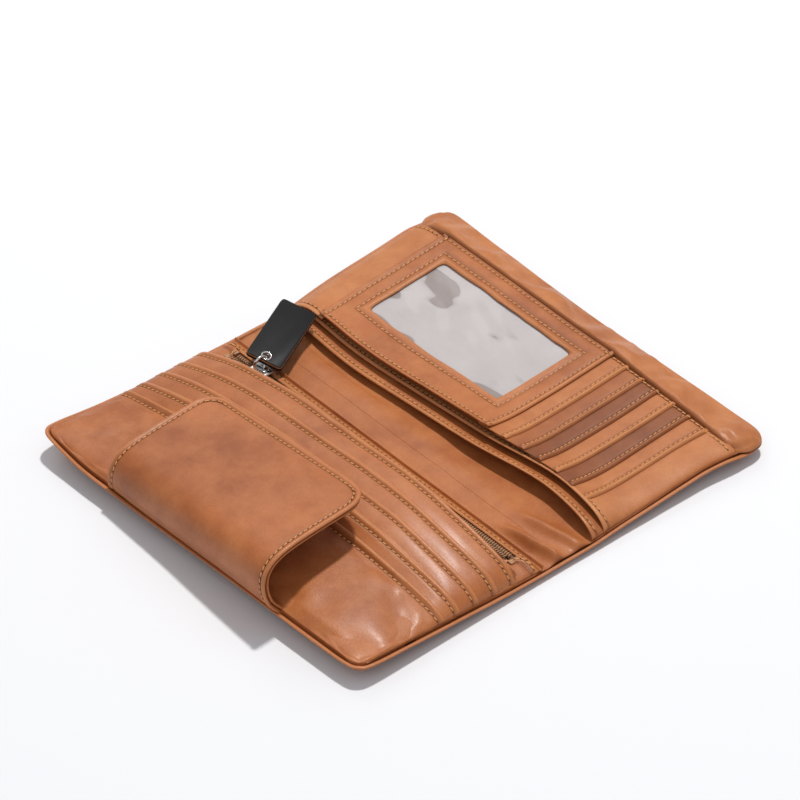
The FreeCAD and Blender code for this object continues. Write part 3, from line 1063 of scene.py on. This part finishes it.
band = layGrid("end_band_leather", spread(-innerX, bandX + 3, 4.0, endRows[:6], (0.5, 1.2)),
               spread(panelEdge, seamY, 4.0, lipRows, (0.6, 1.4, 2.0, 2.6, 3.4)), bandPlace,
               lambda x, y: (max(bump(y - panelEdge, 3.0, 0.5), bump(seamY - y, 2.0, 0.5)),
                             0.7 * bump(y - panelEdge, 0.9, 0.9)))
thicken(band, 0.9)
# the band takes the lighter far tone: painted light
dress(band, "far_half", "farPanelLit", "panel_leather", "end_band")
stitchRun("far_half", [(x, panelEdge + 3.0) for x in spread(-innerX + 3, bandX - 1, 2.0)], bandPlace)

def seamTop(x, y):
    # surface that the long border seam runs over: band, frame, then each slot strip
    if x < bandX:
        return bandPlace(x, y)
    if x < slotEdges[0]:
        return x, y, frameTop(x, y)
    level = cad("card_panel")[1].z
    for node, edge in zip(reversed(slotNodes), slotEdges[1:]):
        if x < edge:
            level = cad(node)[1].z
            break
    return x, y, strippedLevel(x, y, level)


roll = {"height": 4.4, "low": seamY - 1.0, "high": outerY - 0.1, "end": halfLength - 0.2}


def rollPlace(x, y):
    # padded roll of cover leather turned over the long edge
    t = (y - roll["low"]) / (roll["high"] - roll["low"])
    crown = math.sqrt(max(0.0, 1 - (2 * t - 1) ** 2)) ** 0.8
    ends = pillow(roll["end"] - abs(x), 12)
    puff = roll["height"] * crown * ends * (1 + 0.16 * wave(x, y, 24.0, 81.0))
    rx, ry = roundCorner(x, y, roll["end"], roll["high"], coverRadius - 0.2)
    rx -= math.copysign((roll["end"] - innerX + 1.0) * (1 - ease(t / 0.4)) * ease((abs(x) - 80) / 18), x)
    sewn = seamTop(x, seamY - 0.5)[2] - rise(x, seamY) - 0.9
    base = sewn * (1 - ease(t * 1.1)) + 1.5 * ease(t * 1.1)
    return rx, ry, base + rise(x, y) + puff


rollRows = (0.3, 0.8, 1.5, 2.4, 3.6)
rollPiece = layGrid("edge_roll_leather", spread(-roll["end"], roll["end"], 4.5, endRows, endRows),
                    spread(roll["low"], roll["high"], 1.6, rollRows, rollRows), rollPlace,
                    lambda x, y: (bump(y - seamY, -0.6, 0.6), 0.0),
                    lambda x, y: min(y - roll["low"], roll["high"] - y, roll["end"] - abs(x)) < 2.0)
puffed(rollPiece, 3.0, 0.05, 2.2)
thicken(rollPiece, 0.9)
# the roll takes the lighter far tone: painted light
dress(rollPiece, "far_half", "farPanelLit", "cover_leather", "edge_roll")


stitchRun("far_half", [(x, seamY - 2.0) for x in spread(-innerX + 2, innerX - 2, 1.0)], seamTop)
for node in ("slip_pocket_welts", "note_pocket_welts"):
    softCopy(node, "far_half", "lining", "lining_leather", 6.0)
print("far half sewn")


tabWidth = cad("tab_flap_outer")[1].x
tab = {"radius": 12.0, "outer": 1.5, "lining": 1.0, "stitchAt": 3.2, "taper": 6.0,
       # route of the outside, root to tip, as (y, z) at each end
       "left": [(-112.6, 7.4), (-114.2, 9.2), (-114.8, 13.5), (-114.0, 18.4), (-111.4, 22.8),
                (-107.5, 25.4), (-102.0, 26.9), (-94.3, 27.9), (-85.5, 28.7), (-77.0, 29.3), (-68.0, 29.8),
                (-58.0, 30.2)],
       "right": [(-109.3, 7.8), (-111.6, 9.8), (-115.4, 15.0), (-117.4, 21.6), (-117.0, 28.0),
                 (-113.8, 32.8), (-108.6, 35.3), (-101.5, 36.5), (-91.0, 37.0), (-80.0, 37.1),
                 (-68.5, 37.2), (-57.0, 37.0)]}
tabSplit = 2.0        # the low piece ends at this point of the route
tabEnd = len(tab["left"]) - 1.0


def tabRoute(points, t):
    # a smooth line through the points; t counts points from the root
    i = min(int(t), len(points) - 2)
    f = t - i
    p = [points[min(max(i + k, 0), len(points) - 1)] for k in (-1, 0, 1, 2)]
    return tuple(0.5 * (2 * b + (c - a) * f + (2 * a - 5 * b + 4 * c - d) * f * f
                        + (3 * b - a - 3 * c + d) * f ** 3) for a, b, c, d in zip(*p))


def tabPoint(x, t, under=0.0):
    # a place on the tab, under millimetres below its outside
    share = ease((x + tabWidth) / (2 * tabWidth)) * 0.5 + (x + tabWidth) / (4 * tabWidth)
    y, z = (a + (b - a) * share for a, b in zip(tabRoute(tab["left"], t), tabRoute(tab["right"], t)))
    y2, z2 = (a + (b - a) * share for a, b in zip(tabRoute(tab["left"], t + 0.02),
                                                 tabRoute(tab["right"], t + 0.02)))
    if t + 0.02 > tabEnd:
        back = [a + (b - a) * share for a, b in zip(tabRoute(tab["left"], t - 0.02),
                                                   tabRoute(tab["right"], t - 0.02))]
        y2, z2 = 2 * y - back[0], 2 * z - back[1]
    length = math.hypot(y2 - y, z2 - z)
    ny, nz = (z2 - z) / length, -(y2 - y) / length
    x -= tab["taper"] * (t / tabEnd) * (x + tabWidth) / (2 * tabWidth)
    return Vector((x, y + ny * under, z + nz * under))


def tabReach():
    # distance along the outside from the route's start to each tenth of a point
    reach = [0.0]
    for i in range(int(tabEnd * 10)):
        reach.append(reach[-1] + (tabPoint(0, (i + 1) / 10) - tabPoint(0, i / 10)).length)
    return reach


tabLengths = tabReach()
tabLong = tabLengths[-1]


def tabTime(s):
    # the route's own measure at s millimetres from its start
    s = min(max(s, 0.0), tabLong)
    i = max(k for k in range(len(tabLengths)) if tabLengths[k] <= s)
    if i == len(tabLengths) - 1:
        return tabEnd
    return (i + (s - tabLengths[i]) / (tabLengths[i + 1] - tabLengths[i])) / 10


def tabPlace(under, shrink=0.0):
    def place(x, s):
        wide = tabWidth - shrink
        rx, rs = roundCorner(x, s, wide, tabLong - shrink, tab["radius"])
        d = min(wide - abs(x), tabLong - shrink - s)
        crown = 0.5 * pillow(d, 20) + 0.5 * wave(x, s, 42.0, 91.0) * pillow(d, 10)
        shape = lipShape(d) * 0.8 if shrink == 0 else 0.0
        return tabPoint(rx, tabTime(rs), under - crown * 0.8 - shape)
    return place


def tabMarks(x, s):
    d = min(tabWidth - abs(x), tabLong - s)
    return bump(d, tab["stitchAt"], 0.5), 0.8 * bump(d, 1.0, 1.0)


def tabRows(low, high, atRoot, atTip):
    first = (0.2, 0.6, 1.4) if atRoot else (0.2, 0.6)
    return spread(low, high, 2.6, first, lipRows if atTip else (0.2, 0.6))


def makeTabPart(name, under, shrink, thickness, sLow, sHigh, finish, nodes):
    low = sLow == 0.0
    wide = tabWidth - shrink
    xs = spread(-wide, wide, 5.0, lipRows, lipRows)
    ys = tabRows(sLow, sHigh - (0 if low else shrink), low, not low)
    piece = layGrid(name, xs, ys, tabPlace(under, shrink), tabMarks)
    thicken(piece, thickness)
    slot = "cover_leather" if finish == "cover" else "lining_leather"
    dress(piece, None, finish, slot, *nodes)
    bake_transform(piece)


splitAt = tabLengths[int(tabSplit * 10)]
lowTurn = ((0, -110.5, 8.6), (0, -114.6, 13.0))
highTurn = ((0, -117.0, 20.0), (0, -110.0, 30.0))
wallBodies, flapBodies = ("near_half", "tab_wall"), ("tab_wall", "tab_flap")
makeTabPart("tab_root_leather", 0.0, 0.0, tab["outer"], 0.0, splitAt, "cover",
            ["tab_root_outer"])
makeTabPart("tab_leather", 0.0, 0.0, tab["outer"], splitAt, tabLong, "cover",
            ["tab_wall_outer", "tab_flap_outer"])
makeTabPart("tab_root_facing", tab["outer"] + 0.1, 0.35, tab["lining"], 0.0, splitAt,
            "lining", ["tab_root_lining"])
makeTabPart("tab_facing", tab["outer"] + 0.1, 0.35, tab["lining"], splitAt, tabLong,
            "lining", ["tab_wall_lining", "tab_flap_lining"])


def tabStitches():
    at = tab["stitchAt"]
    wide, end, r = tabWidth - at, tabLong - at, tab["radius"] - at
    side = spread(0, end - r, 1.0)
    arc = [(wide - r + r * math.sin(a), end - r + r * math.cos(a))
           for a in [math.pi / 2 * (1 - i / 12) for i in range(1, 12)]]
    right = [(wide, s) for s in side] + arc
    whole = [(-x, s) for x, s in right] + [(x, end) for x in spread(-wide + r, wide - r, 2.0)]
    whole += list(reversed(right))
    place = tabStitchPlace
    for group, keep in (("tab_low", lambda s: s < splitAt), ("tab_high", lambda s: s >= splitAt)):
        run = []
        for p in whole + [None]:
            if p and keep(p[1]):
                run.append(p)
            elif len(run) > 3:
                stitchRun(group, run, place)
                run = []


def tabStitchPlace(x, s):
    d = min(tabWidth - abs(x), tabLong - s)
    crown = 0.5 * pillow(d, 20) + 0.5 * wave(x, s, 42.0, 91.0) * pillow(d, 10)
    return tabPoint(x, tabTime(s), -crown * 0.8 - lipShape(d) * 0.8)


tabStitches()


def magnetAt():
    # magnet sewn between the tab's two leathers, laid at the lie of the tip
    low, high = cad("tab_magnet")
    piece = nodeCopy("tab_magnet", "tab_magnet_strip")
    for v in piece.data.vertices:
        x, y, z = v.co / mm
        s = tabLong - (cad("tab_flap_outer")[1].y - y)
        share = (high.z - z) / (high.z - low.z)
        v.co = tabPoint(x, tabTime(s), tab["outer"] - 0.55 + share * 0.5) * mm
    smooth(piece, 30)
    dress(piece, "tab_flap", "magnet", "closing_magnet", "tab_magnet")


magnetAt()
print("tab made")


coil = {"pitch": 1.25, "tooth": 2.3, "wire": 0.85, "end": 86.0}


def makeCoil(node, centre, shift):
    top = cad(node)[1].z
    places = []
    count = int(2 * coil["end"] / coil["pitch"])
    for n in range(count):
        x = -coil["end"] + (n + shift) * coil["pitch"]
        z = settle(x, centre, top) - 0.35
        slant = 0.16 if shift else -0.16
        places.append(Matrix.Translation(Vector((x, skewed(x, centre), z)) * mm)
                      @ Matrix.Rotation(slant, 4, "Z") @ Matrix.Scale(mm, 4))
    tooth = ball(6, 5, (coil["wire"], coil["tooth"], coil["wire"] * 1.25), "X")
    piece = copies(tooth, node + "_teeth", places)
    smooth(piece)
    dress(piece, "near_half", "coil", "zip_coil", node)


makeCoil("zip_coil_pouch", zipY - 1.18, 0.0)
makeCoil("zip_coil_spine", zipY + 1.18, 0.5)
for node in ("zip_tape_pouch", "zip_tape_spine"):
    softCopy(node, "near_half", "tape", "zip_tape", 5.0)
softCopy("zip_stops", "near_half", "coil", "zip_coil", 5.0)
facing = {"low": -15.5, "high": -10.8}


def facingPlace(x, y):
    t = (y - facing["low"]) / (facing["high"] - facing["low"])
    top = settle(x, y, 6.4)
    edge = facing["high"] - y
    wander = 0.5 * wave(x, 0, 30.0, 95.0) * t
    return x, skewed(x, y + wander), top + lipShape(y - facing["low"]) * 0.6 + lipShape(edge) * 0.5


def facingMarks(x, y):
    return bump(y - facing["low"], 3.0, 0.5), 0.8 * bump(y - facing["low"], 0.9, 0.9)


facingPiece = layGrid("zip_facing_leather", spread(-innerX, innerX, 4.5, endRows, endRows),
                      spread(facing["low"], facing["high"], 0.6, (0.3, 0.7), (0.3,)), facingPlace,
                      facingMarks)
thicken(facingPiece, 0.8)
dress(facingPiece, "near_half", "lining", "lining_leather", "zip_facing")
stitchRun("near_half", [(x, facing["low"] + 2.2) for x in spread(-innerX + 4, innerX - 4, 2.0)],
          facingPlace)
print("zip laid")


def block(name, centre, size, bevel, segments=3):
    bpy.ops.mesh.primitive_cube_add(size=1)
    piece = bpy.context.object
    piece.name = piece.data.name = name
    bpy.ops.object.mode_set(mode="EDIT")
    bpy.ops.mesh.select_all(action="SELECT")
    bpy.ops.transform.resize(value=[c * mm for c in size])
    bpy.ops.transform.translate(value=[c * mm for c in centre])
    bpy.ops.object.mode_set(mode="OBJECT")
    modify(piece, "BEVEL", width=bevel * mm, segments=segments, limit_method="ANGLE")
    return piece


def hoop(name, centre, radius, wire, axis, sweep=math.tau, start=0.0, steps=36):
    # a wire ring: a small circle spun about axis ("X" or "Y") through centre
    bpy.ops.mesh.primitive_circle_add(vertices=14, radius=wire * mm)
    piece = bpy.context.object
    piece.name = piece.data.name = name
    spinAxis = Vector((1, 0, 0)) if axis == "X" else Vector((0, 1, 0))
    out = Vector((0, math.cos(start), math.sin(start))) if axis == "X" \
        else Vector((math.cos(start), 0, -math.sin(start)))
    tangent = spinAxis.cross(out)
    basis = Matrix((out, spinAxis, tangent)).transposed().to_4x4()
    piece.data.transform(Matrix.Translation((Vector(centre) + out * radius) * mm) @ basis)
    bpy.ops.object.mode_set(mode="EDIT")
    bpy.ops.mesh.select_all(action="SELECT")
    bpy.ops.mesh.spin(steps=steps, angle=sweep, center=[c * mm for c in centre], axis=spinAxis)
    bpy.ops.mesh.select_all(action="SELECT")
    bpy.ops.mesh.remove_doubles(threshold=1e-6)
    if sweep < math.tau:
        bpy.ops.mesh.select_all(action="DESELECT")
        bpy.ops.mesh.select_non_manifold()
        bpy.ops.mesh.fill_holes(sides=20)
        bpy.ops.mesh.select_all(action="SELECT")
    bpy.ops.mesh.normals_make_consistent(inside=False)
    bpy.ops.object.mode_set(mode="OBJECT")
    smooth(piece, 50)
    return piece


sliderBox = cad("zip_slider")
sliderX = (sliderBox[0].x + sliderBox[1].x) / 2
sliderY = (sliderBox[0].y + sliderBox[1].y) / 2
coilTop = cad("zip_coil_pouch")[1].z
ringBox = cad("pull_ring")
ringCentre = tuple((a + b) / 2 for a, b in zip(*ringBox))
plate = block("plate", (sliderX, sliderY, coilTop + 1.5), (9.0, 7.3, 1.3), 0.6)
lowPlate = block("low_plate", (sliderX, sliderY, sliderBox[0].z + 0.45), (8.4, 6.4, 0.9), 0.35)
neck = block("neck", (sliderX - 2.6, sliderY, coilTop - 0.6), (1.7, 0.7, 4.0), 0.2, 2)
post = block("post", (sliderX, sliderY, coilTop + 2.5), (6.6, 2.0, 1.2), 0.5)
bail = hoop("bail", (sliderX, sliderY, coilTop + 2.4), 2.0, 0.55, "Y", math.pi, math.pi, 18)
slider = joined("zip_slider_metal", plate, lowPlate, neck, post, bail)
smooth(slider, 40)
dress(slider, "slider", "slider", "slider_metal", "zip_slider")
ringPiece = hoop("pull_ring_wire", ringCentre, 3.4, 0.62, "X")
dress(ringPiece, "ring", "slider", "slider_metal", "pull_ring")

tagAngle = math.radians(24)
tag = {"width": 17.0, "back": -3.0, "front": 33.0, "corner": 1.8, "border": 1.5,
       "pitch": math.radians(6), "roll": math.radians(15),
       "hole": 1.7, "keep": 0.1,
       "eyelet": (ringCentre[0] - 0.5, ringCentre[1] + 3.4, ringCentre[2] + 1.2)}


tagPlace = (Matrix.Translation(Vector(tag["eyelet"]) * mm) @ Matrix.Rotation(tagAngle, 4, "Z")
            @ Matrix.Rotation(tag["pitch"], 4, "X") @ Matrix.Rotation(tag["roll"], 4, "Y"))


def tagLayer(name, lift, thick, shrink, finish, bordered=False):
    # one leather of the tag, modelled along +Y from the eyelet and then turned to its rest place
    bpy.ops.mesh.primitive_cube_add(size=1)
    piece = bpy.context.object
    piece.name = piece.data.name = name
    bpy.ops.object.mode_set(mode="EDIT")
    bpy.ops.mesh.select_all(action="SELECT")
    bpy.ops.transform.resize(value=((tag["width"] - 2 * shrink) * mm,
                                    (tag["front"] - tag["back"] - 2 * shrink) * mm, thick * mm))
    bpy.ops.transform.translate(value=(0, (tag["front"] + tag["back"]) / 2 * mm, lift * mm))
    bpy.ops.mesh.select_all(action="DESELECT")
    bpy.ops.mesh.select_mode(type="EDGE")
    bpy.ops.object.mode_set(mode="OBJECT")
    for edge in piece.data.edges:
        a, b = (piece.data.vertices[i].co for i in edge.vertices)
        edge.select = abs(a.z - b.z) > thick * mm * 0.5
    bpy.ops.object.mode_set(mode="EDIT")
    bpy.ops.mesh.bevel(offset=tag["corner"] * mm, segments=4)
    bpy.ops.mesh.select_mode(type="VERT")
    bpy.ops.object.mode_set(mode="OBJECT")
    if bordered:
        top = max(v.co.z for v in piece.data.vertices)
        for face in piece.data.polygons:
            face.select = all(piece.data.vertices[i].co.z > top - 1e-6 for i in face.vertices)
        bpy.ops.object.mode_set(mode="EDIT")
        bpy.ops.mesh.select_mode(type="FACE")
        bpy.ops.mesh.inset(thickness=tag["border"] * mm)
        bpy.ops.mesh.inset(thickness=0.4 * mm, depth=-0.35 * mm)
        bpy.ops.mesh.select_mode(type="VERT")
        bpy.ops.object.mode_set(mode="OBJECT")
    modify(piece, "BEVEL", width=0.28 * mm, segments=2, limit_method="ANGLE",
           angle_limit=math.radians(50))
    bpy.ops.mesh.primitive_cylinder_add(vertices=20, radius=tag["hole"] * mm, depth=6 * mm)
    cutter = bpy.context.object
    modify(piece, "BOOLEAN", operation="DIFFERENCE", object=cutter, solver="EXACT")
    bpy.data.objects.remove(cutter)
    piece.data.transform(tagPlace)
    smooth(piece, 25)
    return dress(piece, "tag", finish, "tag_leather")


topLeather = tagLayer("pull_tag_top", 0.72, 1.15, 0.0, "tag", True)
core = tagLayer("pull_tag_edge", 0.0, 0.5, 0.25, "edge")
underLeather = tagLayer("pull_tag_under", -0.72, 1.15, 0.0, "tag")
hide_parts("pull_tag")
bpy.ops.mesh.primitive_torus_add(major_segments=28, minor_segments=10, minor_radius=0.5 * mm,
                                 major_radius=(tag["hole"] + 0.35) * mm)
eyelet = bpy.context.object
eyelet.name = eyelet.data.name = "tag_eyelet"
bpy.ops.object.mode_set(mode="EDIT")
bpy.ops.mesh.select_all(action="SELECT")
bpy.ops.transform.resize(value=(1, 1, 2.9))
bpy.ops.object.mode_set(mode="OBJECT")
eyelet.data.transform(tagPlace)
smooth(eyelet)
dress(eyelet, "tag", "slider", "slider_metal")
for piece in (topLeather, core, underLeather, eyelet):
    (ringCentre[1] + 1.5) * mm
    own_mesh(piece)
print("slider, ring and tag made")


for body in ("near_half", "far_half"):
    dress(sewStitches("stitches_" + body, body), body, None, "panel_leather")
for group, bodies, turn in (("tab_low", wallBodies, lowTurn), ("tab_high", flapBodies, highTurn)):
    piece = dress(sewStitches("stitches_" + group, group), None, None, "cover_leather")
    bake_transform(piece)
print("stitches sewn")


room = {"distance": 2.0, "azimuth": 48.94, "elevation": 39.56, "lens": 216.2, "up": 0.0201,
        "right": -0.0016, "skylight": 0.44}


def makeFloor():
    f = Finish("paleFloor", Roughness=0.9)
    coords = f.coords()
    f.feed(Base_Color=f.mix(f.noise(coords, 3.0), (0.80, 0.805, 0.82, 1), (0.82, 0.826, 0.84, 1)))
    bpy.ops.mesh.primitive_plane_add(size=8, location=(0, 0, 0))
    floor = bpy.context.object
    floor.name = floor.data.name = "floor"
    floor.data.materials.append(f.material)


def outward(azimuth, elevation):
    # direction from the holder to where a light or the camera stands, angles in degrees
    a, e = math.radians(azimuth), math.radians(elevation)
    return Vector((math.sin(a) * math.cos(e), -math.cos(a) * math.cos(e), math.sin(e)))


def makeLight(name, azimuth, elevation, distance, size, power, colour=(1, 1, 1)):
    where = outward(azimuth, elevation) * distance
    bpy.ops.object.light_add(type="AREA", location=where)
    lamp = bpy.context.object
    lamp.name = name
    lamp.data.size = size
    lamp.data.energy = power
    lamp.data.color = colour
    lamp.rotation_euler = where.to_track_quat("Z", "Y").to_euler()


def makeCamera():
    back = outward(room["azimuth"], room["elevation"])
    right = Vector((0, 0, 1)).cross(back).normalized()
    up = back.cross(right)
    data = bpy.data.cameras.new("camera")
    camera = bpy.data.objects.new("camera", data)
    bpy.context.collection.objects.link(camera)
    data.lens = room["lens"]
    data.sensor_width = 36
    data.clip_start = 0.05
    camera.location = back * room["distance"] + up * room["up"] + right * room["right"]
    camera.rotation_euler = back.to_track_quat("Z", "Y").to_euler()
    bpy.context.scene.camera = camera


makeFloor()
makeLight("key", 204, 73, 2.2, 0.15, 36, (1.0, 0.985, 0.965))
makeLight("fill", 30, 50, 2.4, 1.6, 5, (0.96, 0.98, 1.0))
makeLight("back", 250, 40, 2.4, 1.0, 4)
makeCamera()
world = bpy.data.worlds.new("studio")
bpy.context.scene.world = world
world.use_nodes = True
world.node_tree.nodes["Background"].inputs["Color"].default_value = (0.93, 0.95, 1.0, 1)
world.node_tree.nodes["Background"].inputs["Strength"].default_value = room["skylight"]
bpy.context.scene.view_settings.view_transform = "Standard"
